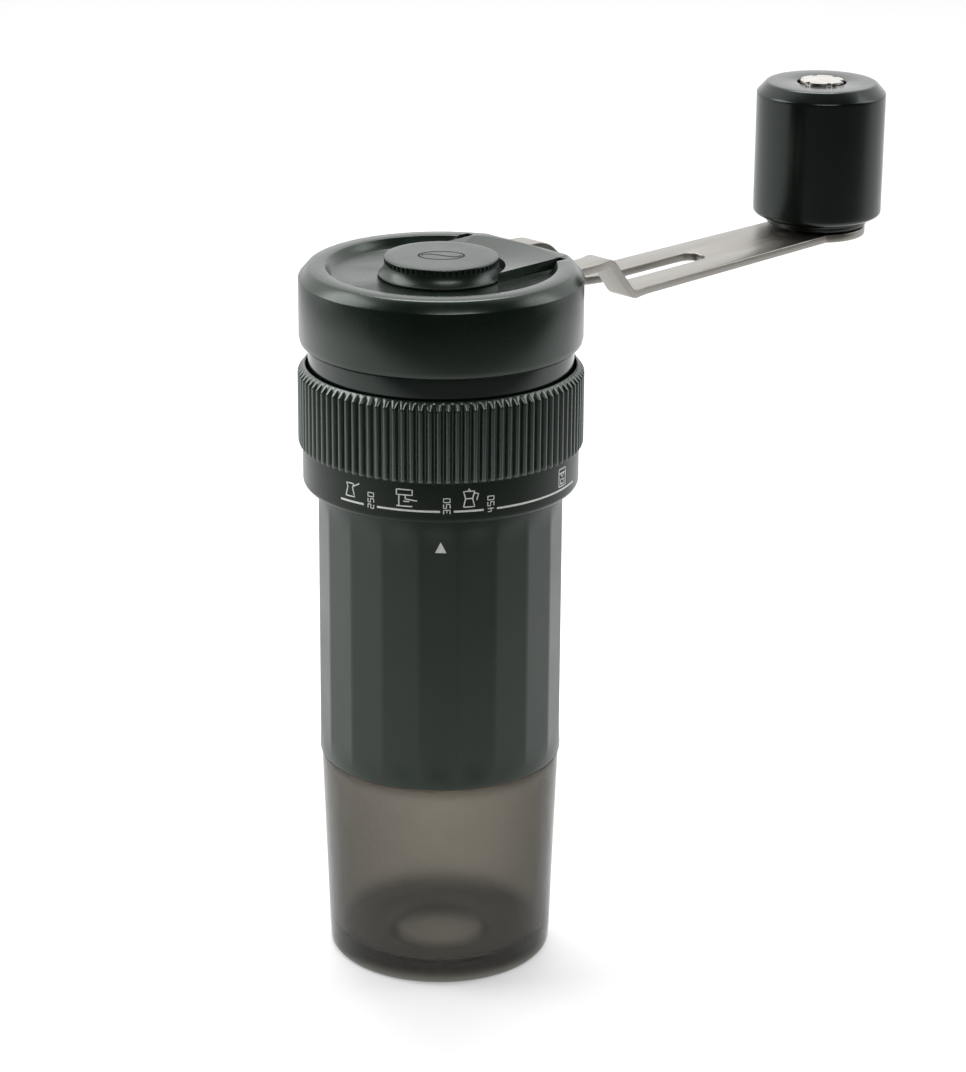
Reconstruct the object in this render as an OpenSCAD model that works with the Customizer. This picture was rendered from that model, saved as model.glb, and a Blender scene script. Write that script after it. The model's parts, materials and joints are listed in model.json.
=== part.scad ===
// Hand crank coffee grinder with a screw-on jar, an outside adjusting ring and a pull-off crank.
// Origin: centre of the flat base. +Z up. The pointer mark faces -Y. All sizes in millimetres.

/* [Jar] */
// Outer radius of the jar where it meets the body
jar_top_r = 25; // [24.5:0.1:25.2]
// Outer radius of the jar just above its rounded foot
jar_foot_r = 23.5; // [22.5:0.1:24]
// Height of the seam between jar and body
seam_z = 45.3; // [43.5:0.1:46.5]
// Thickness of the jar wall
jar_wall = 2.4; // [2:0.1:2.8]

/* [Body] */
// Radius of the body tube over the corners of its grip facets
body_r = 25.4; // [25.2:0.1:25.6]
// Inner radius of the body tube
body_bore_r = 22.4; // [22.3:0.1:22.6]
// Number of flat grip facets around the body
facet_count = 20; // [16:2:28]

/* [Adjusting ring] */
// Height of the ring's lower edge
ring_z = 104.3; // [103.9:0.1:104.9]
// Radius of the smooth scale band
band_r = 28.4; // [28:0.1:28.8]
// Radius over the grip ribs
rib_r = 29.3; // [29.1:0.1:29.6]
// Number of grip ribs
rib_count = 100; // [60:4:120]

/* [Cap] */
// Outer radius of the cap
cap_r = 29; // [28.8:0.1:29.6]
// Height of the cap's lower edge
cap_z = 134.2; // [133.9:0.1:134.5]
// Height of the cap's rim
crest_z = 150.2; // [150:0.1:150.8]
// Distance from the axis to the flat cut where the crank leaves the cap
chord_d = 24.3; // [24:0.1:25]
// Width of the raised bridge over the crank's fork
bridge_w = 25; // [22:0.5:26]

/* [Crank] */
// Direction of the crank arm, counted from +X towards +Y, in degrees
arm_az = 45; // [0:1:359]
// Distance from the grinder's axis to the knob's axis
crank_r = 118.5; // [110:0.5:130]
// Thickness of the crank strip
strip_t = 1.8; // [1.6:0.1:1.9]
// Height by which the strip steps down outside the cap
step_drop = 9.1; // [7:0.1:9.4]
// Radius of the crank knob
knob_r = 14.4; // [13.8:0.1:16]
// Height of the crank knob
knob_h = 32; // [28:0.5:38]

/* [Grinding set] */
// Largest radius of the inner burr
inner_burr_r = 15.5; // [14:0.1:15.6]
// Radius of the drive shaft
shaft_r = 3; // [3:0.01:3.01]
// Outer radius of the shaft's ball bearings
bearing_r = 6.5; // [6.5:0.01:6.51]

/* [Hidden] */
$fn = 96;

seam_gap = 0.05;         // play between the jar's shoulder and the tube's lower edge
free = 0.3;              // gap between parts that pass each other without touching
slip = 0.05;             // radial play of a running fit
snug = 0.02;             // radial play of a seat that is pressed or screwed home
cut = 1;                 // how far a cutting tool runs past the face it opens

neck_top_z = seam_z + 10.6;
neck_r = body_bore_r - 0.5;
neck_bore_r = 20.3;
jar_floor_z = 3.2;
seal_z = neck_top_z - 3;

tube_top_z = ring_z + 22;
tube_neck_r = 24.6;
facet_top_z = ring_z - 0.4;
slot_w = 5;
slot_az = [90, 210, 330];

collar_r = 27.2;
collar_z = tube_top_z - 1.2;
collar_top_z = cap_z + 5;
collar_bore_r = 22.5;

band_top_z = ring_z + 8.8;
rib_top_z = band_top_z + 15.3;
ring_top_z = rib_top_z + 1.5;
ring_bore_r = tube_neck_r + free;
ring_mouth_r = collar_r + 0.5;
lug_z = band_top_z + 1.6;
lug_h = 4;
lug_r = 26;

burr_z = seam_z + 24.2;
burr_h = 16;

liner_r = 20.6;
liner_bore_r = 19.4;
liner_z = burr_z + burr_h + 1.4;
flange_t = 1.5;
liner_screw_at = 24.6;

bearing_h = 4;
lower_bearing_z = burr_z + burr_h + 2;
upper_bearing_z = lower_bearing_z + 19;
spider_hub_r = 9;
ball_count = 8;
ball_r = 0.85;
ball_at = (shaft_r + bearing_r) / 2;

hex_z = upper_bearing_z + 18;
socket_r = 6.5;
floor_z = crest_z - 2.1;
ceiling_z = floor_z - 2.6;
shaft_top_z = ceiling_z - 1.6;
socket_z = cap_z - 4;
lock_r = 11.6;
lock_foot_r = 12.8;
lock_top_z = crest_z + 1.9;
lock_teeth = 58;
stem_r = 2;

leg_top_z = crest_z - 3.2;
leg_in = 7.6;            // distance from the arm's centre line to a fork leg's inner edge
leg_out = 13.6;          // distance from the arm's centre line to a fork leg's outer edge
leg_start = 9.5;         // distance from the grinder's axis to the fork legs' tips
bend_u = 35.5;           // where the strip starts to step down
bend_r = 4.2;            // radius of both bends along the strip's middle
step_slope = 46;         // slope of the step, in degrees
bend_run = 2 * bend_r * sin(step_slope)
    + (step_drop - 2 * bend_r * (1 - cos(step_slope))) / tan(step_slope);
plate_half_w = 9.8;
plate_end_half_w = 8.6;
pad_r = 11;
slot_half_w = 3;
slot_end_u = 76;
plate_top_z = leg_top_z - step_drop;
channel_play = 0.2;

knob_z = plate_top_z + 0.6;
knob_top_z = knob_z + knob_h;
axle_r = 2.5;
axle_head_r = 4.8;

module on_arm() { rotate([0, 0, arm_az]) children(); }

module ring_of(count, at, start = 0) {
    for (i = [0:count - 1]) rotate([0, 0, start + i * 360 / count]) translate([at, 0, 0]) children();
}

module tube(r_out, r_in, z, h) {
    translate([0, 0, z]) difference() {
        cylinder(r = r_out, h = h);
        translate([0, 0, -cut]) cylinder(r = r_in, h = h + 2 * cut);
    }
}

module disc(r, z, h) { translate([0, 0, z]) cylinder(r = r, h = h); }

// A flat ring sector, from one angle to another
module sector_wall(r_out, r_in, z, h, from, to) {
    translate([0, 0, z]) rotate([0, 0, from])
        rotate_extrude(angle = to - from) translate([r_in, 0]) square([r_out - r_in, h]);
}

// ---- Jar ----

// Clear smoked cup with a neck that goes up inside the body tube
module jar() {
    foot_curve = [for (a = [-90:15:0]) [jar_foot_r - 1.6 + 1.6 * cos(a), 1.6 + 1.6 * sin(a)]];
    inner_foot = [for (a = [0:-15:-90]) [jar_foot_r - jar_wall - 2 + 2 * cos(a), jar_floor_z + 2 + 2 * sin(a)]];
    color("dimgray", 0.75) difference() {
        rotate_extrude() polygon(concat(
            [[0, 0]], foot_curve,
            [[jar_top_r, seam_z - 0.5], [jar_top_r - 0.35, seam_z], [neck_r, seam_z],
             [neck_r, neck_top_z], [neck_bore_r, neck_top_z], [neck_bore_r, seam_z - 1],
             [jar_top_r - jar_wall, seam_z - 3.4]],
            inner_foot, [[0, jar_floor_z]]));
        tube(neck_r + cut, neck_r - 0.5, seal_z, 1.6);
    }
}

module jar_seal() {
    color("black") tube(body_bore_r - 0.15, neck_r - 0.5 + slip, seal_z + 0.1, 1.4);
}

// ---- Body ----

module facet_prism(r, z, h) {
    translate([0, 0, z]) linear_extrude(height = h)
        polygon([for (i = [0:facet_count - 1]) r * [cos((i + 0.5) * 360 / facet_count), sin((i + 0.5) * 360 / facet_count)]]);
}

// Faceted grip tube: the facets run out into round bands at both ends
module body_tube() {
    lip_r = body_r - 0.05;
    flat_r = body_r * cos(180 / facet_count);
    bottom = seam_z + seam_gap;
    color("#2b302d") difference() {
        union() {
            facet_prism(body_r, bottom + 2, facet_top_z - bottom - 2);
            rotate_extrude() polygon([
                [body_bore_r - 0.2, bottom], [lip_r - 0.3, bottom], [lip_r, bottom + 0.4], [lip_r, bottom + 1.2],
                [flat_r - 0.1, bottom + 6], [flat_r - 0.1, facet_top_z - 5], [lip_r, facet_top_z - 1.6],
                [lip_r, facet_top_z], [tube_neck_r, facet_top_z], [tube_neck_r, tube_top_z],
                [body_bore_r - 0.2, tube_top_z]]);
        }
        disc(body_bore_r, bottom - cut, tube_top_z - bottom + 2 * cut);
        for (a = slot_az) rotate([0, 0, a]) translate([body_bore_r - 2, -slot_w / 2, lug_z - 2])
            cube([6, slot_w, lug_h + 5]);
        rotate([0, 0, 270]) translate([tube_neck_r - 1.1, -4, lug_z + 0.5]) cube([3, 8, 3]);
    }
}

// Glossy neck that is screwed on the tube and holds the adjusting ring down
module collar() {
    color("#141615") difference() {
        disc(collar_r, collar_z, collar_top_z - collar_z);
        disc(tube_neck_r + snug, collar_z - cut, tube_top_z - collar_z + cut);
        disc(collar_bore_r, collar_z, collar_top_z);
        ring_of(3, liner_screw_at, 30) disc(1, collar_top_z - 4.5, 10);
    }
}

module hopper_liner() {
    color("#3a3f3c") difference() {
        union() {
            disc(liner_r, liner_z, collar_top_z - liner_z + flange_t);
            disc(collar_r - 0.6, collar_top_z, flange_t);
        }
        disc(liner_bore_r, liner_z - cut, collar_top_z - liner_z + 4);
        ring_of(3, liner_screw_at, 30) disc(1 + snug, collar_top_z - cut, 4);
    }
}

module liner_screws() {
    color("silver") ring_of(3, liner_screw_at, 30) difference() {
        union() {
            disc(1 - snug, collar_top_z - 4, 4 + flange_t);
            disc(1.9, collar_top_z + flange_t, 1);
        }
        translate([-1.2, -0.25, collar_top_z + flange_t + 0.5]) cube([2.4, 0.5, 1]);
    }
}

// Three-armed bearing holder pressed into the hopper liner
module spider(z) {
    h = bearing_h + 1;
    tube(liner_bore_r - snug, liner_bore_r - 1.2, z - 0.5, h);
    difference() {
        union() {
            disc(spider_hub_r, z - 0.5, h);
            for (a = [0:120:240]) rotate([0, 0, a])
                translate([spider_hub_r - 1, -2, z - 0.5]) cube([liner_bore_r - spider_hub_r - 0.1, 4, h]);
        }
        disc(bearing_r + snug, z - cut, bearing_h + 2 * cut);
    }
}

module upper_spider() { color("#4a4f4c") spider(upper_bearing_z); }
module lower_spider() { color("#4a4f4c") spider(lower_bearing_z); }

module race_groove(z) {
    rotate_extrude() translate([ball_at, z + bearing_h / 2]) circle(r = ball_r + slip, $fn = 32);
}
module outer_race(z) {
    color("silver") difference() { tube(bearing_r, ball_at + 0.5, z, bearing_h); race_groove(z); }
}
module inner_race(z) {
    color("silver") difference() { tube(ball_at - 0.5, shaft_r + snug, z, bearing_h); race_groove(z); }
}
module balls(z) {
    color("white") ring_of(ball_count, ball_at) translate([0, 0, z + bearing_h / 2]) sphere(r = ball_r, $fn = 24);
}

module upper_outer_race() { outer_race(upper_bearing_z); }
module upper_inner_race() { inner_race(upper_bearing_z); }
module upper_balls() { balls(upper_bearing_z); }
module lower_outer_race() { outer_race(lower_bearing_z); }
module lower_inner_race() { inner_race(lower_bearing_z); }
module lower_balls() { balls(lower_bearing_z); }

// Leaf that clicks against the ring, in a pocket in the front of the tube
module click_spring() {
    color("silver") rotate([0, 0, 270]) difference() {
        translate([tube_neck_r - 0.9, -3.5, lug_z + 0.8]) cube([0.7, 7, 2.4]);
        for (s = [-1, 1]) translate([tube_neck_r - 0.3, s * 1.6 - 0.7, lug_z]) cube([1, 1.4, 4]);
    }
}

// ---- Shaft ----

module drive_shaft() {
    nut_end_z = burr_z - 5.5;
    color("silver") difference() {
        union() {
            disc(shaft_r, nut_end_z, hex_z - nut_end_z);
            disc(4.4, burr_z + burr_h, 1.9);
            translate([0, 0, hex_z]) cylinder(r = 3.4, h = shaft_top_z - hex_z, $fn = 6);
        }
        disc(stem_r + slip, shaft_top_z - 9, 10);
        tube(shaft_r + cut, shaft_r - 0.4, upper_bearing_z + bearing_h + 0.1, 0.8);
    }
}

module snap_ring() {
    color("gray") difference() {
        tube(4.6, shaft_r - 0.38, upper_bearing_z + bearing_h + 0.15, 0.7);
        translate([0, -1.2, upper_bearing_z + bearing_h - cut]) cube([6, 2.4, 4]);
    }
}

// Fluted cone that turns with the shaft
module inner_burr() {
    top_r = 5.6;
    lean = atan((inner_burr_r - top_r) / burr_h);
    color("#9a9a96") difference() {
        translate([0, 0, burr_z]) cylinder(r1 = inner_burr_r, r2 = top_r, h = burr_h);
        disc(shaft_r + snug, burr_z - cut, burr_h + 2 * cut);
        ring_of(6, inner_burr_r - 1.6, 0) translate([0, -1.1, burr_z]) rotate([0, -lean, 12])
            translate([0, 0, 5]) cube([5, 2.2, 18]);
        ring_of(24, inner_burr_r - 0.7, 7.5) translate([0, -0.3, burr_z - 1]) rotate([0, -lean, 0]) cube([3, 0.6, 7]);
    }
}

module burr_washer() { color("silver") tube(6, shaft_r + snug, burr_z - 1, 1); }
module burr_nut() {
    color("silver") translate([0, 0, burr_z - 4.2]) difference() {
        cylinder(r = 5.6, h = 3.2, $fn = 6);
        translate([0, 0, -cut]) cylinder(r = shaft_r + snug, h = 6);
    }
}

// ---- Cap ----

// Outline of the cap's shell as a solid of revolution, skirt down
module cap_profile() {
    skirt_r = collar_r + free;
    polygon([[0, ceiling_z], [skirt_r - 1.4, ceiling_z], [skirt_r, ceiling_z - 1.4], [skirt_r, cap_z],
        [cap_r - 0.8, cap_z], [cap_r - 0.25, cap_z + 0.6], [cap_r, cap_z + 1.7], [cap_r, crest_z - 2.4],
        [cap_r - 0.12, crest_z - 2.15], [27.3, crest_z - 0.3], [26.9, crest_z - 0.1], [23.9, crest_z],
        [23.6, crest_z - 0.1], [22.3, floor_z + 0.2], [21.9, floor_z], [0, floor_z]]);
}

// Cap with a bridge over the crank's fork, a flat cut at its end and two channels for the legs
module cap_shell() {
    color("#1d201e") difference() {
        union() {
            rotate_extrude() cap_profile();
            intersection() {
                disc(26.8, leg_top_z - strip_t - 1.2, crest_z - leg_top_z + strip_t + 1.2 - 0.05);
                on_arm() union() {
                    translate([0, -bridge_w / 2, ceiling_z + 0.2]) cube([chord_d, bridge_w, 6]);
                    translate([7.2, -15, 0]) cube([chord_d - 7.2, 30, ceiling_z + 0.5]);
                }
            }
        }
        on_arm() {
            translate([chord_d, -20, leg_top_z - strip_t - 1.2]) cube([20, 40, 20]);
            for (s = [-1, 1]) translate([leg_start - 0.5, s * (leg_in + leg_out) / 2 - 3.2, leg_top_z - strip_t - channel_play])
                cube([30, 6.4, strip_t + 2 * channel_play]);
        }
        on_arm() for (s = [-1, 1]) translate([15, s * (bridge_w / 2 + 0.9) - 0.9, floor_z]) cube([6.6, 1.8, 10]);
        disc(stem_r + slip, ceiling_z - 5, 20);
        disc(lock_foot_r + 0.2, floor_z, 10);
        ring_of(3, 4.9, 30) disc(0.8, ceiling_z - cut, 2.6);
    }
}

// Steel socket that slips over the shaft's hexagon
module drive_socket() {
    color("silver") difference() {
        disc(socket_r, socket_z, ceiling_z - socket_z);
        translate([0, 0, socket_z - cut]) cylinder(r = 3.4 + 0.06, h = shaft_top_z - socket_z + cut + 0.3, $fn = 6);
        disc(stem_r + slip, socket_z, 30);
        ring_of(3, 4.9, 30) disc(0.8, socket_z - cut, 30);
    }
}

module socket_screws() {
    color("gray") ring_of(3, 4.9, 30) disc(0.78, socket_z + 1, ceiling_z - socket_z + 0.5);
}

// Serrated thumb knob in the middle of the cap
module lock_knob() {
    neck_r = lock_r - 0.6;
    foot_curve = [for (a = [0:15:90]) [lock_foot_r - 1.6 * sin(a), floor_z + 0.1 + 1.9 * (1 - cos(a))]];
    color("#232624") difference() {
        rotate_extrude() polygon(concat([[0, floor_z + 0.1]], foot_curve,
            [[neck_r, lock_top_z - 1.5], [lock_r, lock_top_z - 1.2], [lock_r, lock_top_z - 0.3],
             [lock_r - 0.3, lock_top_z], [0, lock_top_z]]));
        ring_of(lock_teeth, lock_r - 0.35) translate([0, -0.28, lock_top_z - 1.25]) cube([1, 0.56, 1.05]);
        disc(stem_r - snug, floor_z - cut, 3);
    }
}

module lock_stem() { color("silver") disc(stem_r - snug * 2, shaft_top_z - 7.5, floor_z + 2 - shaft_top_z + 7.5); }

// ---- Crank ----

// Points along an arc in the plane, from one angle to another
function arc(x, y, r, from, to, steps = 6) =
    [for (i = [0:steps]) let (a = from + (to - from) * i / steps) [x + r * cos(a), y + r * sin(a)]];

// Side outline of the bent strip: level legs, a step down through two round bends, then the level plate
module strip_side() {
    half_t = strip_t / 2;
    end_u = crank_r + pad_r + 1;
    upper = [bend_u, leg_top_z - half_t - bend_r];
    lower = [bend_u + bend_run, plate_top_z - half_t + bend_r];
    polygon(concat(
        [[leg_start, leg_top_z]],
        arc(upper.x, upper.y, bend_r + half_t, 90, 90 - step_slope),
        arc(lower.x, lower.y, bend_r - half_t, 270 - step_slope, 270),
        [[end_u, plate_top_z], [end_u, plate_top_z - strip_t]],
        arc(lower.x, lower.y, bend_r + half_t, 270, 270 - step_slope),
        arc(upper.x, upper.y, bend_r - half_t, 90 - step_slope, 90),
        [[leg_start, leg_top_z - strip_t]]));
}

// Plan of the strip as a tall block: a fork that narrows into a slotted plate with a round pad
module strip_plan(z, h) {
    wide_u = bend_u - 3;
    narrow_u = bend_u + bend_run + 3;
    difference() {
        union() {
            translate([0, 0, z]) linear_extrude(height = h) polygon([
                [leg_start, leg_out], [wide_u, leg_out], [narrow_u, plate_half_w], [crank_r - 2, plate_end_half_w],
                [crank_r - 2, -plate_end_half_w], [narrow_u, -plate_half_w], [wide_u, -leg_out], [leg_start, -leg_out]]);
            translate([crank_r, 0, 0]) disc(pad_r, z, h);
        }
        translate([0, 0, z - cut]) linear_extrude(height = h + 2 * cut) polygon([
            [0, leg_in], [wide_u, leg_in], [narrow_u, slot_half_w], [slot_end_u, slot_half_w],
            [slot_end_u, -slot_half_w], [narrow_u, -slot_half_w], [wide_u, -leg_in], [0, -leg_in]]);
        translate([slot_end_u, 0, 0]) disc(slot_half_w, z - cut, h + 2 * cut);
        translate([crank_r, 0, 0]) disc(axle_r + snug, z - cut, h + 2 * cut);
    }
}

module crank_arm() {
    color("#c8c6c0") on_arm() intersection() {
        rotate([90, 0, 0]) translate([0, 0, -20]) linear_extrude(height = 40) strip_side();
        strip_plan(plate_top_z - 10, 30);
    }
}

// Shoulder pin with a notched head on top and a riveted foot below the plate
module knob_axle() {
    color("#d8d6cf") on_arm() translate([crank_r, 0, 0]) difference() {
        union() {
            disc(axle_r, plate_top_z - strip_t - 0.6, knob_top_z - plate_top_z + strip_t);
            disc(4.2, plate_top_z - strip_t - 0.9, 0.9);
            disc(axle_head_r, knob_top_z - 1, 1.4);
        }
        ring_of(6, axle_head_r) disc(0.7, knob_top_z - 0.2, 2);
    }
}

module axle_washer() {
    color("silver") on_arm() translate([crank_r, 0, 0]) tube(7, axle_r + snug, plate_top_z, 0.5);
}

// Hollow grip with a chamfered lower edge and a rounded shoulder
module knob_grip() {
    shoulder = [for (a = [0:15:90]) [knob_r - 2.1 + 1.6 * cos(a), knob_top_z - 1.6 + 1.6 * sin(a)]];
    color("#171918") on_arm() translate([crank_r, 0, 0]) rotate_extrude() polygon(concat(
        [[5, knob_z], [11.1, knob_z], [11.5, knob_z + 0.3], [11.5, knob_z + 1.4], [12.1, knob_z + 1.7],
         [knob_r - 0.6, knob_z + 3.4], [knob_r, knob_z + 4.4]], shoulder,
        [[axle_head_r + 1.1, knob_top_z], [axle_head_r + 0.3, knob_top_z - 0.4],
         [axle_head_r + 0.3, knob_top_z - 1.3], [5, knob_top_z - 1.3]]));
}

module knob_bush(z, h) {
    color("#b08d57") on_arm() translate([crank_r, 0, 0]) tube(5 - snug, axle_r + slip, z, h);
}
module upper_knob_bush() { knob_bush(knob_top_z - 11.5, 10); }
module lower_knob_bush() { knob_bush(knob_z, 10); }

// ---- Adjusting ring and outer burr ----

module rib_outline() {
    pitch = 360 / rib_count;
    polygon([for (i = [0:rib_count - 1]) for (c = [[-0.3, 0], [-0.17, 0.75], [0, 1], [0.17, 0.75], [0.3, 0]])
        (rib_r - 0.9 + 0.9 * c[1]) * [cos((i + c[0]) * pitch), sin((i + c[0]) * pitch)]]);
}

// Ring with a scale band below and a ribbed grip above; the lugs of the carrier run in its groove
module adjusting_ring() {
    color("#262a28") difference() {
        union() {
            translate([0, 0, band_top_z]) linear_extrude(height = rib_top_z - band_top_z) rib_outline();
            rotate_extrude() polygon([[ring_bore_r - 0.4, ring_z], [band_r - 0.7, ring_z], [band_r - 0.2, ring_z + 0.5],
                [band_r, ring_z + 1.4], [band_r, rib_top_z], [ring_mouth_r + 0.3, ring_top_z],
                [ring_bore_r - 0.4, ring_top_z]]);
        }
        disc(ring_bore_r, ring_z - cut, 40);
        disc(ring_mouth_r, collar_z - free, 40);
        tube(lug_r + free, ring_bore_r - 0.4, lug_z - 1.4, lug_h + 2.8);
    }
}

// Sleeve that holds the outer burr; three legs reach up to the adjusting ring through the tube's slots
module burr_carrier() {
    carrier_r = body_bore_r - free;
    color("#55595a") difference() {
        union() {
            tube(carrier_r, 20 + snug, burr_z, burr_h + 0.3);
            tube(carrier_r, 17.4, burr_z - 2, 2);
            for (a = slot_az) {
                sector_wall(carrier_r, 21, burr_z + burr_h, lug_z + lug_h - burr_z - burr_h, a - 12, a + 12);
                rotate([0, 0, a]) translate([21.5, -2.2, lug_z]) cube([lug_r - 21.5, 4.4, lug_h]);
            }
        }
        ring_of(3, 18.7, 30) disc(0.9, burr_z - 3, 4);
    }
}

// Toothed ring around the inner burr
module outer_burr() {
    throat_r = 11.8;
    exit_r = inner_burr_r + 0.5;
    color("#8f8f8b") difference() {
        disc(20, burr_z, burr_h);
        rotate_extrude() polygon([[0, burr_z - 0.01], [exit_r, burr_z - 0.01], [throat_r, burr_z + 12],
            [16.5, burr_z + burr_h + 0.01], [0, burr_z + burr_h + 0.01]]);
        ring_of(30, throat_r - 1) translate([0, -0.5, burr_z + 6]) rotate([0, 18, 0]) cube([2, 1, 12]);
        ring_of(3, 18.7, 30) disc(0.9, burr_z - cut, 4);
    }
}

module burr_screws() {
    color("gray") ring_of(3, 18.7, 30) {
        disc(0.9 - snug, burr_z - 2, 4.6);
        disc(1.25, burr_z - 2.8, 0.8);
    }
}

body_tube();
collar();
hopper_liner();
liner_screws();
upper_spider();
lower_spider();
upper_outer_race();
upper_balls();
lower_outer_race();
lower_balls();
click_spring();
drive_shaft();
upper_inner_race();
lower_inner_race();
snap_ring();
inner_burr();
burr_washer();
burr_nut();
cap_shell();
drive_socket();
socket_screws();
lock_knob();
lock_stem();
crank_arm();
knob_axle();
axle_washer();
knob_grip();
upper_knob_bush();
lower_knob_bush();
adjusting_ring();
burr_carrier();
outer_burr();
burr_screws();
jar();
jar_seal();
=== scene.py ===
import json
import math

import bmesh
import bpy
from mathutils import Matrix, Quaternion, Vector


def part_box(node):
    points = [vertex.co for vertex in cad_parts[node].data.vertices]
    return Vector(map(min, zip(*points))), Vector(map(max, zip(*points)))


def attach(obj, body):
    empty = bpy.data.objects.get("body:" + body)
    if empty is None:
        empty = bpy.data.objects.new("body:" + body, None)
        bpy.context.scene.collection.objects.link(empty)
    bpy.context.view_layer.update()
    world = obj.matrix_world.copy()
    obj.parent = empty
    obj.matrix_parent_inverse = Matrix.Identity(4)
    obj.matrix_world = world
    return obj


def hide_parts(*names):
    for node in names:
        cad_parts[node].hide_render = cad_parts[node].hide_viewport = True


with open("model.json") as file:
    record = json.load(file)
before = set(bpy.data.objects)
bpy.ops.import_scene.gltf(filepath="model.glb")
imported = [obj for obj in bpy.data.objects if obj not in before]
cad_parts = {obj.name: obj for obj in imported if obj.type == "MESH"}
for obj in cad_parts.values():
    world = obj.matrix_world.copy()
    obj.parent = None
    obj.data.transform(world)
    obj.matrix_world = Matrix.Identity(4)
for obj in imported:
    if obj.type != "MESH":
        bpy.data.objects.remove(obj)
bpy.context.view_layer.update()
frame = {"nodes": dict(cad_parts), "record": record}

MM = 0.001
TAU = 2 * math.pi


# ---------------------------------------------------------------- measures taken from the frame

def span(node):
    """Lowest and highest corner of a node, in millimetres."""
    low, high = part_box(node)
    return low / MM, high / MM


jar_high = span("jar")[1]
tube_low, tube_high = span("body_tube")
ring_low, ring_high = span("adjusting_ring")
collar_low = span("collar")[0]
lock_low, lock_high = span("lock_knob")
knob_low, knob_high = span("knob_grip")

SEAM = tube_low.z                       # height of the seam between jar and tube
BODY_R = 25.4                           # radius over the corners of the grip facets
RIB_R = ring_high.x                     # radius over the ring's ribs
BAND_R = 28.4                           # radius of the ring's smooth scale band
BAND_TOP = ring_low.z + 8.8             # height where the band ends and the ribs begin
KNOB_AT = (knob_low + knob_high) / 2    # middle of the crank knob
KNOB_R = (knob_high.x - knob_low.x) / 2
ARM_AZ = math.atan2(KNOB_AT.y, KNOB_AT.x)
FRONT = -TAU / 4                        # direction of the pointer mark, as an angle from +X
FACETS = 20                             # flats round the grip tube
FACET_DEPTH = BODY_R * math.cos(math.pi / FACETS)   # from the axis to the middle of a flat
INK_LIFT = 0.02                         # printed marks stand this far off their surface


# ---------------------------------------------------------------- mesh helpers

def arc(x, z, r, start, end, steps=6):
    """Points on an arc, angles in degrees."""
    out = []
    for i in range(steps + 1):
        a = math.radians(start + (end - start) * i / steps)
        out.append((x + r * math.cos(a), z + r * math.sin(a)))
    return out


def finish_mesh(name, bm, body, sharp=32):
    bmesh.ops.recalc_face_normals(bm, faces=bm.faces)
    mesh = bpy.data.meshes.new(name)
    bm.to_mesh(mesh)
    bm.free()
    mesh.shade_smooth()
    mesh.set_sharp_from_angle(angle=math.radians(sharp))
    obj = bpy.data.objects.new(name, mesh)
    bpy.context.scene.collection.objects.link(obj)
    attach(obj, body)
    return obj


def lathe(name, rows, body, segments=192, swell=None, centre=(0, 0), closed=True, sharp=32):
    """Turns rows of (r, z) in millimetres about a vertical axis. swell(angle, row) is added to r."""
    bm = bmesh.new()
    rings = []
    for index, (r, z) in enumerate(rows):
        if r < 1e-6:
            rings.append([bm.verts.new((centre[0] * MM, centre[1] * MM, z * MM))])
            continue
        ring = []
        for s in range(segments):
            a = TAU * s / segments
            rr = r + (swell(a, index) if swell else 0)
            ring.append(bm.verts.new(((centre[0] + rr * math.cos(a)) * MM,
                                      (centre[1] + rr * math.sin(a)) * MM, z * MM)))
        rings.append(ring)
    pairs = list(zip(rings, rings[1:]))
    if closed and len(rings[0]) > 1 and len(rings[-1]) > 1:
        pairs.append((rings[-1], rings[0]))
    for low, high in pairs:
        for s in range(segments):
            t = (s + 1) % segments
            if len(low) == 1:
                bm.faces.new((low[0], high[s], high[t]))
            elif len(high) == 1:
                bm.faces.new((low[s], low[t], high[0]))
            else:
                bm.faces.new((low[s], low[t], high[t], high[s]))
    return finish_mesh(name, bm, body, sharp)


def soften(node, width):
    """Rounds the sharp edges of a CAD node with modifiers; its mesh stays as it is."""
    sharp = math.radians(28)
    obj = frame["nodes"][node]
    weld = obj.modifiers.new("weld", "WELD")
    weld.merge_threshold = 2e-6
    bevel = obj.modifiers.new("edge_round", "BEVEL")
    bevel.limit_method = "ANGLE"
    bevel.angle_limit = sharp
    bevel.width = width * MM
    bevel.segments = 2
    bevel.use_clamp_overlap = True
    bevel.harden_normals = False
    obj.data.shade_smooth()
    obj.data.set_sharp_from_angle(angle=sharp)


# ---------------------------------------------------------------- materials

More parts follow.
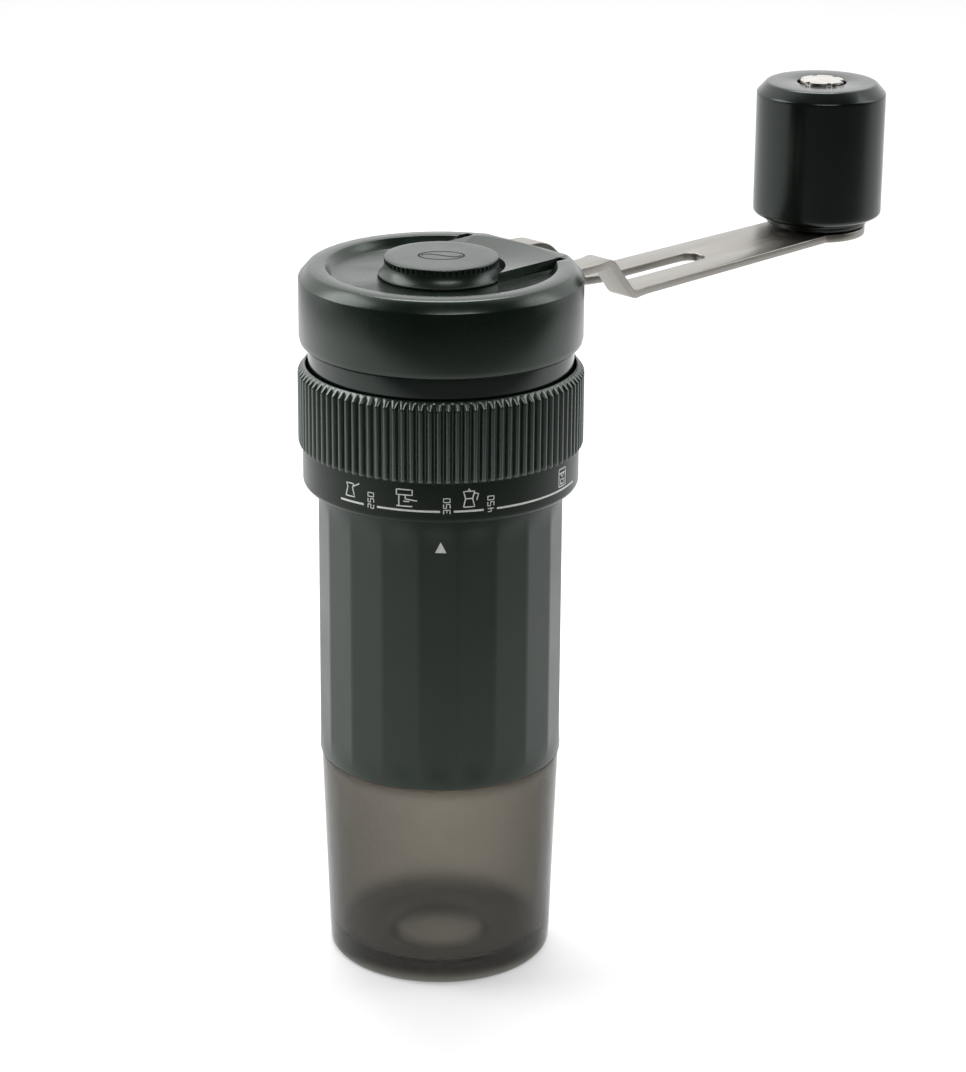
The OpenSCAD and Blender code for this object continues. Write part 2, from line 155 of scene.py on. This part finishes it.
class Nodes:
    """Small helper for building a material's node tree, or for adding to one."""

    def __init__(self, name=None, mat=None):
        self.mat = mat or bpy.data.materials.new(name)
        self.mat.use_nodes = True
        self.tree = self.mat.node_tree
        self.shader = self.tree.nodes["Principled BSDF"]
        self.coord = self.add("ShaderNodeTexCoord")

    def add(self, kind, **values):
        node = self.tree.nodes.new(kind)
        for key, value in values.items():
            setattr(node, key, value)
        return node

    def link(self, a, b):
        self.tree.links.new(a, b)

    def put(self, **sockets):
        """Sets uniform values on the shader; an underscore stands for a space."""
        for key, value in sockets.items():
            self.shader.inputs[key.replace("_", " ")].default_value = value

    def drive(self, source, socket):
        """Links a result to one of the shader's inputs."""
        self.link(source, self.shader.inputs[socket])

    def xyz(self):
        """The three object coordinates."""
        split = self.add("ShaderNodeSeparateXYZ")
        self.link(self.coord.outputs["Object"], split.inputs["Vector"])
        return split.outputs["X"], split.outputs["Y"], split.outputs["Z"]

    def remap(self, value, start, stop, low=0.0, high=1.0, kind="LINEAR"):
        """Takes start to low and stop to high, and holds both ends."""
        node = self.add("ShaderNodeMapRange", interpolation_type=kind)
        for socket, number in zip(("From Min", "From Max", "To Min", "To Max"), (start, stop, low, high)):
            node.inputs[socket].default_value = number
        self.link(value, node.inputs["Value"])
        return node.outputs["Result"]

    def math(self, operation, *terms):
        """A math node on sockets or plain numbers."""
        node = self.add("ShaderNodeMath", operation=operation)
        for socket, term in zip(node.inputs, terms):
            if isinstance(term, bpy.types.NodeSocket):
                self.link(term, socket)
            else:
                socket.default_value = term
        return node.outputs[0]

    def mapped(self, scale, turn=0.0):
        """Object coordinates, scaled and turned about Z."""
        node = self.add("ShaderNodeMapping")
        node.inputs["Scale"].default_value = scale if isinstance(scale, tuple) else (scale,) * 3
        if turn:
            first = self.add("ShaderNodeMapping")
            first.inputs["Rotation"].default_value = (0, 0, turn)
            self.link(self.coord.outputs["Object"], first.inputs["Vector"])
            self.link(first.outputs["Vector"], node.inputs["Vector"])
        else:
            self.link(self.coord.outputs["Object"], node.inputs["Vector"])
        return node.outputs["Vector"]

    def noise(self, scale, detail=4.0, rough=0.55, vector=None):
        node = self.add("ShaderNodeTexNoise")
        node.inputs["Scale"].default_value = scale
        node.inputs["Detail"].default_value = detail
        node.inputs["Roughness"].default_value = rough
        self.link(vector or self.coord.outputs["Object"], node.inputs["Vector"])
        return node.outputs["Fac"]

    def ramp(self, factor, stops):
        node = self.add("ShaderNodeValToRGB")
        ramp = node.color_ramp
        while len(ramp.elements) < len(stops):
            ramp.elements.new(0.5)
        for element, (place, value) in zip(ramp.elements, stops):
            element.position = place
            colour = value if isinstance(value, tuple) else (value,) * 3
            element.color = (*colour, 1)
        self.link(factor, node.inputs["Fac"])
        return node.outputs["Color"]

    def mix(self, factor, a, b, blend="MIX"):
        node = self.add("ShaderNodeMix", data_type="RGBA", blend_type=blend)
        for socket, value in ((node.inputs[0], factor), (node.inputs[6], a), (node.inputs[7], b)):
            if isinstance(value, bpy.types.NodeSocket):
                self.link(value, socket)
            elif isinstance(value, tuple):
                socket.default_value = (*value, 1)
            else:
                socket.default_value = value
        return node.outputs[2]

    def bump(self, height, strength, distance, below=None):
        node = self.add("ShaderNodeBump")
        node.inputs["Strength"].default_value = strength
        node.inputs["Distance"].default_value = distance
        self.link(height, node.inputs["Height"])
        if below:
            self.link(below, node.inputs["Normal"])
        return node.outputs["Normal"]

    def worn_edge(self, radius):
        """1 along convex and concave edges, 0 on flats."""
        bevel = self.add("ShaderNodeBevel", samples=4)
        bevel.inputs["Radius"].default_value = radius
        geometry = self.add("ShaderNodeNewGeometry")
        dot = self.add("ShaderNodeVectorMath", operation="DOT_PRODUCT")
        self.link(bevel.outputs["Normal"], dot.inputs[0])
        self.link(geometry.outputs["Normal"], dot.inputs[1])
        return self.remap(dot.outputs["Value"], 1.0, 0.86)


def scaled(colour, k):
    return tuple(c * k for c in colour)


def plastic(name, colour, gloss, grain, grain_depth, edge=0.0, shine=0.5, rough_spread=0.06,
            scratches=0.05):
    """Moulded dark plastic: cloudy tint, fine moulded grain, uneven gloss and lighter rubbed edges."""
    n = Nodes(name)
    cloud = n.noise(90, 5, 0.6)
    tint = n.ramp(cloud, [(0.3, scaled(colour, 0.82)), (0.7, scaled(colour, 1.22))])
    if edge:
        patchy = n.ramp(n.noise(420, 3, 0.6), [(0.35, 0.15), (0.65, 1.0)])
        rub = n.math("MULTIPLY", n.worn_edge(0.0003), patchy)
        tint = n.mix(n.math("MULTIPLY", rub, edge), tint, scaled(colour, 4.0))
    n.drive(tint, "Base Color")
    smudge = n.noise(60, 6, 0.65)
    n.drive(n.ramp(smudge, [(0.3, gloss - rough_spread), (0.72, gloss + rough_spread)]), "Roughness")
    fine = n.noise(grain, 2, 0.5)
    scratch = n.noise(300, 3, 0.5, n.mapped((1, 1, 14)))
    soft = n.bump(scratch, scratches, 0.00005)
    n.drive(n.bump(fine, grain_depth, 0.00004, soft), "Normal")
    n.put(IOR=1.5, Specular_IOR_Level=shine, Specular_Tint=(0.88, 1.0, 0.93, 1))
    return n.mat


def band_and_ribs(mat):
    """Makes the ring's smooth scale band less shiny than the ribs above it."""
    n = Nodes(mat=mat)
    height = n.xyz()[2]
    n.drive(n.remap(height, BAND_TOP * MM, (BAND_TOP + 0.4) * MM, 0.20, 1.0), "Specular IOR Level")


def brushed(name, colour, turn, gloss):
    """Brushed steel: long fine lines along one direction, with faint tarnish."""
    n = Nodes(name)
    lines = n.noise(40, 6, 0.7, n.mapped((2.5, 160, 160), turn))
    broad = n.noise(45, 4, 0.6)
    tone = n.ramp(lines, [(0.3, scaled(colour, 0.80)), (0.7, scaled(colour, 1.08))])
    stain = n.ramp(broad, [(0.35, (0.93, 0.92, 0.90)), (0.7, (1.0, 1.0, 1.0))])
    n.drive(n.mix(1.0, tone, stain, "MULTIPLY"), "Base Color")
    n.drive(n.ramp(lines, [(0.25, gloss - 0.07), (0.75, gloss + 0.12)]), "Roughness")
    n.drive(n.bump(lines, 0.22, 0.00003), "Normal")
    n.put(Metallic=1.0)
    return n.mat


def turned(name, colour, gloss):
    """Turned or ground metal with fine mottling."""
    n = Nodes(name)
    mottle = n.noise(700, 4, 0.6)
    n.drive(n.ramp(mottle, [(0.3, scaled(colour, 0.82)), (0.7, scaled(colour, 1.06))]), "Base Color")
    n.drive(n.ramp(n.noise(150, 5, 0.6), [(0.3, gloss - 0.06), (0.7, gloss + 0.1)]), "Roughness")
    n.drive(n.bump(n.noise(2500, 2, 0.5), 0.12, 0.00002), "Normal")
    n.put(Metallic=1.0)
    return n.mat


def smoked(name):
    """Smoked translucent plastic: a frosted skin over a tint that deepens with thickness.

    The thick outer edge of the floor is glossier, and its colour is darkened there as painted shade; the
    walls and the floor's middle keep the plain tint.
    """
    n = Nodes(name)
    x, y, z = n.xyz()
    above_floor = n.remap(z, 0.0036, 0.0046)
    across = n.add("ShaderNodeCombineXYZ")
    n.link(x, across.inputs["X"])
    n.link(y, across.inputs["Y"])
    reach = n.add("ShaderNodeVectorMath", operation="LENGTH")
    n.link(across.outputs["Vector"], reach.inputs[0])
    near_axis = n.remap(reach.outputs["Value"], 0.014, 0.010)
    # Zero on the foot band, which gets painted shade in its colour and a glossier surface.
    off_shaded_glossy_band = n.math("MAXIMUM", above_floor, near_axis)
    tone = n.ramp(n.noise(40, 3, 0.5), [(0.3, (0.93, 0.92, 0.90)), (0.7, (1.0, 0.99, 0.97))])
    # Painted shade: the foot band's colour is darkened to 0.62 of a pale grey.
    n.drive(n.mix(off_shaded_glossy_band, scaled((0.95, 1.0, 1.0), 0.62), tone), "Base Color")
    frost = n.ramp(n.noise(60, 3, 0.5), [(0.3, 0.21), (0.7, 0.26)])
    n.drive(n.mix(off_shaded_glossy_band, (0.09, 0.09, 0.09), frost), "Roughness")
    n.drive(n.bump(n.noise(2600, 2, 0.5), 0.04, 0.00002), "Normal")
    n.put(Transmission_Weight=0.97, IOR=1.22)
    tint = n.add("ShaderNodeVolumeAbsorption")
    tint.inputs["Color"].default_value = (0.535, 0.515, 0.470, 1)
    tint.inputs["Density"].default_value = 810
    n.link(tint.outputs["Volume"], n.tree.nodes["Material Output"].inputs["Volume"])
    return n.mat


def print_ink(name, colour):
    """Screen-printed marking: slightly uneven pale ink."""
    n = Nodes(name)
    n.drive(n.ramp(n.noise(1500, 3, 0.6), [(0.3, scaled(colour, 0.85)), (0.7, scaled(colour, 1.05))]),
            "Base Color")
    n.drive(n.ramp(n.noise(900, 3, 0.6), [(0.3, 0.45), (0.7, 0.6)]), "Roughness")
    n.drive(n.bump(n.noise(2200, 2, 0.5), 0.1, 0.00002), "Normal")
    return n.mat


body_plastic = plastic("grip_plastic", (0.0038, 0.0080, 0.0048), 0.33, 1800, 0.10, shine=0.44,
                       rough_spread=0.04)
collar_plastic = plastic("neck_gloss", (0.003, 0.0055, 0.004), 0.13, 1500, 0.04, shine=0.45,
                         rough_spread=0.03)
cap_plastic = plastic("cap_satin", (0.0030, 0.0068, 0.0038), 0.26, 2600, 0.16, edge=0.5, shine=0.48)
ring_plastic = plastic("ring_matt", (0.0050, 0.0085, 0.0058), 0.30, 3200, 0.2, edge=0.6, scratches=0.0)
band_and_ribs(ring_plastic)
lock_plastic = plastic("lock_matt", (0.0045, 0.0080, 0.0055), 0.33, 3600, 0.3, edge=0.5, shine=0.52)
knob_plastic = plastic("knob_satin", (0.0022, 0.0036, 0.0028), 0.23, 2400, 0.10, edge=0.4, shine=0.40)
inner_plastic = plastic("inner_matt", (0.045, 0.048, 0.046), 0.5, 1500, 0.25)
seal_rubber = plastic("seal_soft", (0.018, 0.018, 0.018), 0.65, 2500, 0.4)
arm_steel = brushed("crank_steel", (0.29, 0.278, 0.257), -ARM_AZ, 0.34)
axle_steel = turned("axle_steel", (0.52, 0.50, 0.47), 0.28)
plain_steel = turned("plain_steel", (0.56, 0.56, 0.55), 0.3)
race_steel = turned("race_steel", (0.75, 0.75, 0.76), 0.14)
burr_steel = turned("burr_steel", (0.40, 0.40, 0.38), 0.38)
bush_brass = turned("bush_brass", (0.72, 0.52, 0.26), 0.3)
smoked_plastic = smoked("jar_smoked")
ink = print_ink("mark_ink", (0.60, 0.62, 0.60))
emblem_ink = plastic("emblem_ink", (0.012, 0.014, 0.013), 0.75, 1500, 0.1, shine=0.12)

BY_SLOT = {
    "body_plastic": body_plastic, "gloss_plastic": collar_plastic, "inner_plastic": inner_plastic,
    "steel": plain_steel, "bearing_steel": race_steel, "burr_steel": burr_steel, "cap_plastic": cap_plastic,
    "lock_plastic": lock_plastic, "brushed_steel": arm_steel, "axle_steel": axle_steel,
    "knob_plastic": knob_plastic, "bush_brass": bush_brass, "ring_plastic": ring_plastic,
    "smoked_plastic": smoked_plastic, "seal_rubber": seal_rubber,
}


def dress(obj, slot):
    obj.data.materials.clear()
    obj.data.materials.append(BY_SLOT[slot])


for part in frame["record"]["subparts"]:
    for place in frame["nodes"][part["node"]].material_slots:
        place.material = BY_SLOT[part["material_slot"]]


# ---------------------------------------------------------------- jar

def make_jar():
    """A tapered cup with a screw neck and a shallow recess under the middle of its floor."""
    top_r, foot_r, wall, floor = jar_high.x, 23.5, 2.4, 3.7
    seam = SEAM - 0.3
    neck_top, neck_r, neck_bore = jar_high.z, 21.9, 20.3
    foot_round, corner, lip = 1.6, 3.2, 0.35
    recess = [(0, 2.9), (8.4, 2.9), (9.4, 2.5), (10.4, 0.4), (11.0, 0.0)]
    outer = recess + [(18.0, 0.0), (foot_r - foot_round, 0.0)]
    outer += arc(foot_r - foot_round, foot_round, foot_round, -80, 0, 7)
    outer += [(top_r, seam - 2 * lip)] + arc(top_r - lip, seam - lip, lip, 0, 90, 4)
    neck = [(neck_r, seam), (neck_r, neck_top - 0.3), (neck_r - 0.3, neck_top), (neck_bore, neck_top),
            (neck_bore, seam - 1), (top_r - wall, seam - 3.4)]
    inner = arc(foot_r - wall - corner, floor + corner, corner, 0, -90, 8)
    rows = outer + neck + inner + [(0, floor)]
    jar = lathe("smoked_jar", rows, "jar", 160, closed=False)
    dress(jar, "smoked_plastic")
    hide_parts("jar")


# ---------------------------------------------------------------- grip tube

def make_tube():
    """Round at both ends, with flats that fade in and out between them."""
    low, high = SEAM, ring_low.z - 0.4
    lip, bore, neck, edge = BODY_R - 0.05, 22.4, 24.6, 0.35
    rows = [(bore, low), (lip - edge, low)] + arc(lip - edge, low + edge, edge, -90, 0, 4)
    rows += [(lip, low + 1.0)]
    round_share = [1.0] * len(rows)
    fade = [(1.6, 0.98), (2.2, 0.85), (3.0, 0.62), (4.0, 0.35), (5.2, 0.12), (6.5, 0.0)]
    for rise, share in fade:
        rows.append((lip, low + rise))
        round_share.append(share)
    for rise, share in reversed(fade):
        rows.append((lip, high - rise + 0.4))
        round_share.append(share)
    tail = [(lip, high), (neck, high), (neck, tube_high.z), (bore, tube_high.z)]
    rows += tail
    round_share += [1.0] * len(tail)
    pitch = TAU / FACETS

    def swell(angle, row):
        share = round_share[row]
        if share >= 1:
            return 0
        off = (angle + pitch / 2) % pitch - pitch / 2
        return (FACET_DEPTH / math.cos(off) - lip) * (1 - share)

    tube = lathe("grip_tube", rows, "housing", FACETS * 14, swell, sharp=40)
    dress(tube, "body_plastic")
    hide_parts("body_tube")


# ---------------------------------------------------------------- adjusting ring

def make_ring():
    """A smooth scale band with ribs above it; share says how much of the ribs a row has."""
    low, high = ring_low.z, ring_high.z
    bore, mouth, foot_round = 24.9, 27.7, 1.3
    rib_top = high - 1.5
    ribs, height, rib_half = 100, RIB_R - BAND_R, 0.37
    rows, share = [], []

    def put(points, amount=0.0):
        for point in points:
            rows.append(point)
            share.append(amount)

    put([(bore, low), (BAND_R - foot_round, low)])
    put(arc(BAND_R - foot_round, low + foot_round, foot_round, -80, 0, 6))
    put([(BAND_R, BAND_TOP - 0.45), (BAND_R, BAND_TOP - 0.15)])
    for rise, amount in ((0.0, 0.45), (0.12, 0.75), (0.35, 0.94), (0.7, 1.0)):
        put([(BAND_R, BAND_TOP + rise)], amount)
    for drop, amount in ((0.5, 1.0), (0.15, 0.96), (0.0, 0.86)):
        put([(BAND_R, rib_top - drop)], amount)
    put([(BAND_R - 0.04, rib_top + 0.9)], 0.06)
    put([(mouth + 0.35, high - 0.06), (mouth + 0.18, high), (mouth, high - 0.12)])
    put([(mouth, collar_low.z - 0.3), (bore, collar_low.z - 0.3)])
    pitch = TAU / ribs

    def swell(angle, row):
        if not share[row]:
            return 0
        t = abs((angle / pitch + 0.5) % 1 - 0.5) / rib_half
        return height * share[row] * (1 - t ** 3) if t < 1 else 0

    ring = lathe("ribbed_ring", rows, "ring", ribs * 12, swell, sharp=50)
    dress(ring, "ring_plastic")
    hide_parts("adjusting_ring")


# ---------------------------------------------------------------- centre knob

def make_lock():
    """A low cone under a flat cap with a notched rim; notch says how deep a row is cut."""
    low, high, rim, foot = lock_low.z, lock_high.z, 11.6, 12.8
    rows = [(0, low), (foot - 0.2, low), (foot, low + 0.15), (foot - 0.05, low + 0.35)]
    rows += [(foot - 0.25 - 1.05 * t - 0.18 * math.sin(math.pi * t), low + 0.5 + 1.9 * t)
             for t in [i / 8 for i in range(9)]]
    notch = [0.0] * len(rows)
    for r, drop, depth in ((rim - 0.12, 1.5, 0), (rim, 1.4, 0), (rim, 1.35, 0.3), (rim, 1.25, 1),
                           (rim, 0.45, 1), (rim, 0.35, 0.3), (rim, 0.28, 0), (rim - 0.05, 0.14, 0),
                           (rim - 0.14, 0.04, 0), (rim - 0.3, 0, 0), (rim - 2, 0, 0), (0, 0, 0)):
        rows.append((r, high - drop))
        notch.append(depth)
    teeth, notch_depth, notch_half = 58, 0.5, 0.27
    pitch = TAU / teeth

    def swell(angle, row):
        if not notch[row]:
            return 0
        t = abs((angle / pitch + 0.5) % 1 - 0.5) / notch_half
        return -notch_depth * notch[row] * (1 - t ** 4) if t < 1 else 0

    knob = lathe("serrated_knob", rows, "lock", teeth * 12, swell, closed=False, sharp=35)
    dress(knob, "lock_plastic")
    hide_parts("lock_knob")


# ---------------------------------------------------------------- crank knob

def make_grip():
    """The turning grip: a short grooved neck, a straight body, a bevelled shoulder and a well for the pin."""
    low, high, r = knob_low.z, knob_high.z, KNOB_R
    bore, well, well_depth = 5, 5.45, 1.3
    rows = [(bore, low), (11.0, low)] + arc(11.0, low + 0.3, 0.3, -90, 0, 4) + [(11.3, low + 0.8)]
    rows += arc(11.7, low + 0.9, 0.4, 180, 120, 3)
    rows += [(r - 1.5, low + 1.6)] + arc(r - 1.0, low + 3.0, 1.0, -50, 0, 4)
    rows += [(r, low + 4), (r, high - 3.2)]
    rows += arc(r - 0.9, high - 2.7, 0.9, 0, 50, 5) + arc(r - 2.6, high - 1.1, 1.1, 50, 90, 5)
    rows += [(well + 0.6, high), (well + 0.1, high - 0.15), (well, high - 0.4), (well, high - well_depth),
             (bore, high - well_depth)]
    grip = lathe("crank_knob", rows, "knob", 128, centre=(KNOB_AT.x, KNOB_AT.y), sharp=40)
    dress(grip, "knob_plastic")
    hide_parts("knob_grip")


# ---------------------------------------------------------------- printed marks

def strip_faces(bm, points, width, place):
    """A flat strip along points (u, v) in millimetres, put on a surface by place(u, v)."""
    pairs = []
    for i, (u, v) in enumerate(points):
        a = points[max(i - 1, 0)]
        b = points[min(i + 1, len(points) - 1)]
        du, dv = b[0] - a[0], b[1] - a[1]
        size = math.hypot(du, dv) or 1
        nu, nv = -dv / size * width / 2, du / size * width / 2
        pairs.append((bm.verts.new(place(u + nu, v + nv)), bm.verts.new(place(u - nu, v - nv))))
    for (a, b), (c, d) in zip(pairs, pairs[1:]):
        bm.faces.new((a, b, d, c))


def dense(points, step=0.6):
    """The same polyline with extra points, so that it bends with the surface."""
    out = [points[0]]
    for (u0, v0), (u1, v1) in zip(points, points[1:]):
        count = max(1, int(math.hypot(u1 - u0, v1 - v0) / step))
        out += [(u0 + (u1 - u0) * i / count, v0 + (v1 - v0) * i / count) for i in range(1, count + 1)]
    return out


def on_cylinder(radius, height, turn):
    """u runs to the right as seen from outside, v up."""
    def place(u, v):
        a = FRONT + math.radians(turn) + u / radius
        return (radius * math.cos(a) * MM, radius * math.sin(a) * MM, (height + v) * MM)
    return place


# Strokes on a grid 1 wide and 2 tall.
DIGITS = {
    "0": [[(0, 0), (0, 2), (1, 2), (1, 0), (0, 0)]],
    "2": [[(0, 2), (1, 2), (1, 1), (0, 1), (0, 0), (1, 0)]],
    "3": [[(0, 2), (1, 2), (1, 0), (0, 0)], [(0.25, 1), (1, 1)]],
    "4": [[(0, 2), (0, 0.9), (1, 0.9)], [(0.8, 2), (0.8, 0)]],
    "5": [[(1, 2), (0, 2), (0, 1.1), (1, 1.1), (1, 0), (0, 0)]],
}
# Strokes of small coffee makers about 4 mm tall, round their middle.
ICONS = {
    "pot": [[(-1.1, -1.5), (1.1, -1.5), (0.6, 0.4), (0.9, 1.2), (-0.9, 1.2), (-0.6, 0.4), (-1.1, -1.5)],
            [(0.7, 0.6), (2.3, 1.5)]],
    "machine": [[(-1.8, 1.7), (1.4, 1.7), (1.4, 0.6), (-1.8, 0.6), (-1.8, 1.7)],
                [(-1.3, 0.6), (-1.3, -1.7)], [(-1.8, -1.7), (1.4, -1.7)],
                [(0.0, 0.6), (0.0, -0.2), (2.4, -0.5)], [(-0.4, -0.7), (0.8, -0.7)]],
    "moka": [[(-1.1, -1.7), (1.1, -1.7), (0.7, 0.0), (1.1, 1.5), (-1.1, 1.5), (-0.7, 0.0), (-1.1, -1.7)],
             [(-0.7, 0.0), (0.7, 0.0)], [(1.0, 1.1), (1.9, 0.9), (1.5, -0.4)],
             [(-0.3, 1.5), (0, 2.0), (0.3, 1.5)]],
    "dripper": [[(-1.3, -1.8), (1.3, -1.8), (1.3, 1.8), (-1.3, 1.8), (-1.3, -1.8)],
                [(-1.3, 0.9), (1.3, 0.9)], [(-0.7, 0.9), (0, 0.1), (0.7, 0.9)],
                [(-0.7, -1.3), (0.7, -1.3), (0.7, -0.4), (-0.7, -0.4), (-0.7, -1.3)]],
}


def make_scale():
    """Line, coffee makers and numbers on the ring's band; angles are degrees to the right of the front."""
    surface = BAND_R + INK_LIFT
    middle = (ring_low.z + BAND_TOP) / 2
    bm = bmesh.new()
    for start, end in ((-44.0, -32.0), (-25.8, 0.5), (6.0, 18.3), (24.0, 72.0)):
        place = on_cylinder(surface, middle - 1.5, 0)
        u0, u1 = math.radians(start) * BAND_R, math.radians(end) * BAND_R
        strip_faces(bm, dense([(u0, 0), (u1, 0)]), 0.42, place)
    for icon, turn in (("pot", -38.8), ("machine", -13.6), ("moka", 12.2), ("dripper", 60.5)):
        place = on_cylinder(surface, middle + 1.1, turn)
        for stroke in ICONS[icon]:
            strip_faces(bm, dense([(1.02 * u, 1.02 * v) for u, v in stroke]), 0.25, place)
    for text, turn in (("250", -28.6), ("350", 3.2), ("450", 21.3)):
        place = on_cylinder(surface, middle - 2.0, turn)
        for i, digit in enumerate(text):
            for stroke in DIGITS[digit]:
                points = [(0.65 - v * 0.65, i * 1.22 + u * 0.8) for u, v in stroke]
                strip_faces(bm, dense(points, 0.3), 0.2, place)
    marks = finish_mesh("scale_marks", bm, "ring")
    marks.data.materials.append(ink)


def make_pointer():
    """A small triangle on the front flat of the grip tube."""
    top, half_w, tall, shift = ring_low.z - 4.7, 1.15, 2.3, 0.35
    y = -(FACET_DEPTH + 0.07)
    corners = [(-half_w, top - tall), (half_w, top - tall), (0, top)]
    bm = bmesh.new()
    bm.faces.new([bm.verts.new(((x + shift) * MM, y * MM, z * MM)) for x, z in corners])
    pointer = finish_mesh("pointer_mark", bm, "housing")
    pointer.data.materials.append(ink)


def make_emblem():
    """A plain coffee bean drawn in dark lines on the centre knob."""
    bm = bmesh.new()
    lift = lock_high.z + INK_LIFT

    def place(u, v):
        return (u * MM, v * MM, lift * MM)

    half_long, half_wide, groove_half, groove_swing = 4.6, 3.1, 4.6 * 0.86, 0.95
    turns = [TAU * i / 48 for i in range(49)]
    strip_faces(bm, [(half_long * math.cos(t), half_wide * math.sin(t)) for t in turns], 0.42, place)
    shares = [i / 20 for i in range(21)]
    groove = [(groove_half * math.cos(math.pi * (1 - t)), groove_swing * math.sin(TAU * t)) for t in shares]
    strip_faces(bm, groove, 0.5, place)
    emblem = finish_mesh("bean_emblem", bm, "lock")
    emblem.data.materials.append(emblem_ink)


make_jar()
make_tube()
make_ring()
make_lock()
make_grip()
make_scale()
make_pointer()
make_emblem()
soften("cap_shell", 0.22)
soften("crank_arm", 0.22)
soften("knob_axle", 0.06)
soften("collar", 0.2)


# ---------------------------------------------------------------- floor, lights, camera

def make_floor():
    """A white table that glows like a light table; in front of the grinder, out of the picture, it turns grey
    and stops glowing, as painted shade.
    """
    bm = bmesh.new()
    bmesh.ops.create_grid(bm, x_segments=2, y_segments=2, size=8.0)
    mesh = bpy.data.meshes.new("floor")
    bm.to_mesh(mesh)
    bm.free()
    floor = bpy.data.objects.new("floor", mesh)
    bpy.context.scene.collection.objects.link(floor)
    n = Nodes("floor_pale")
    x, y = n.xyz()[:2]
    slant = n.math("MULTIPLY_ADD", x, -0.35, y)
    clear_of_painted_shade = n.remap(slant, -0.36, -0.09, kind="SMOOTHSTEP")
    # Painted shade: in front the floor is grey and gives no glow, standing in for the dark beyond the table.
    n.drive(n.mix(clear_of_painted_shade, (0.15, 0.15, 0.15), (0.55, 0.55, 0.55)), "Base Color")
    n.drive(n.mix(clear_of_painted_shade, (0.0, 0.0, 0.0), (1.0, 1.0, 1.0)), "Emission Color")
    n.put(Roughness=0.7, Emission_Strength=0.37)
    floor.data.materials.append(n.mat)


def area_light(name, place, target, size, power):
    """A soft rectangle at place, facing target; metres and watts."""
    data = bpy.data.lights.new(name, "AREA")
    data.shape = "RECTANGLE"
    data.size, data.size_y = size
    data.energy = power
    light = bpy.data.objects.new(name, data)
    light.location = place
    light.rotation_mode = "QUATERNION"
    light.rotation_quaternion = (Vector(target) - Vector(place)).to_track_quat("-Z", "Y")
    bpy.context.scene.collection.objects.link(light)


def make_world():
    """Bright behind, dark in front, as with black card around the lens."""
    world = bpy.data.worlds.new("studio")
    bpy.context.scene.world = world
    world.use_nodes = True
    tree = world.node_tree
    background = tree.nodes["Background"]
    coord = tree.nodes.new("ShaderNodeTexCoord")
    split = tree.nodes.new("ShaderNodeSeparateXYZ")
    remap = tree.nodes.new("ShaderNodeMapRange")
    remap.interpolation_type = "SMOOTHSTEP"
    for socket, number in zip(("From Min", "From Max", "To Min", "To Max"), (-0.12, 0.30, 0.03, 1.45)):
        remap.inputs[socket].default_value = number
    tree.links.new(coord.outputs["Generated"], split.inputs["Vector"])
    tree.links.new(split.outputs["Y"], remap.inputs["Value"])
    tree.links.new(remap.outputs["Result"], background.inputs["Strength"])
    background.inputs["Color"].default_value = (1, 1, 1, 1)


def make_camera():
    """Looks along +Y and down, with a slight roll."""
    elevation, distance, lens, roll = math.radians(19.7), 0.70, 113.1, math.radians(0.40)
    aim = Vector((0.0088, 0, 0.0920))
    back = Vector((0, -math.cos(elevation), math.sin(elevation)))
    data = bpy.data.cameras.new("camera")
    data.lens = lens
    data.sensor_width = 36
    data.clip_start, data.clip_end = 0.01, 50
    camera = bpy.data.objects.new("camera", data)
    camera.location = aim + back * distance
    camera.rotation_mode = "QUATERNION"
    level = (-back).to_track_quat("-Z", "Y")
    camera.rotation_quaternion = Quaternion(back, roll) @ level
    bpy.context.scene.collection.objects.link(camera)
    bpy.context.scene.camera = camera


make_floor()
make_world()
area_light("left_softbox", (-0.55, 0.05, 0.45), (-0.15, 0, 0), (0.35, 0.5), 3)
area_light("right_softbox", (0.7, 0.1, 0.5), (0.15, 0, 0), (0.3, 0.5), 1.5)
area_light("top_back", (0.0, 0.45, 1.10), (0, 0.05, 0), (0.6, 0.4), 8)
area_light("front_strip", (0.16, -0.66, 0.76), (0.02, 0, 0.12), (0.5, 0.10), 2.8)
make_camera()
bpy.context.scene.view_settings.view_transform = "Standard"
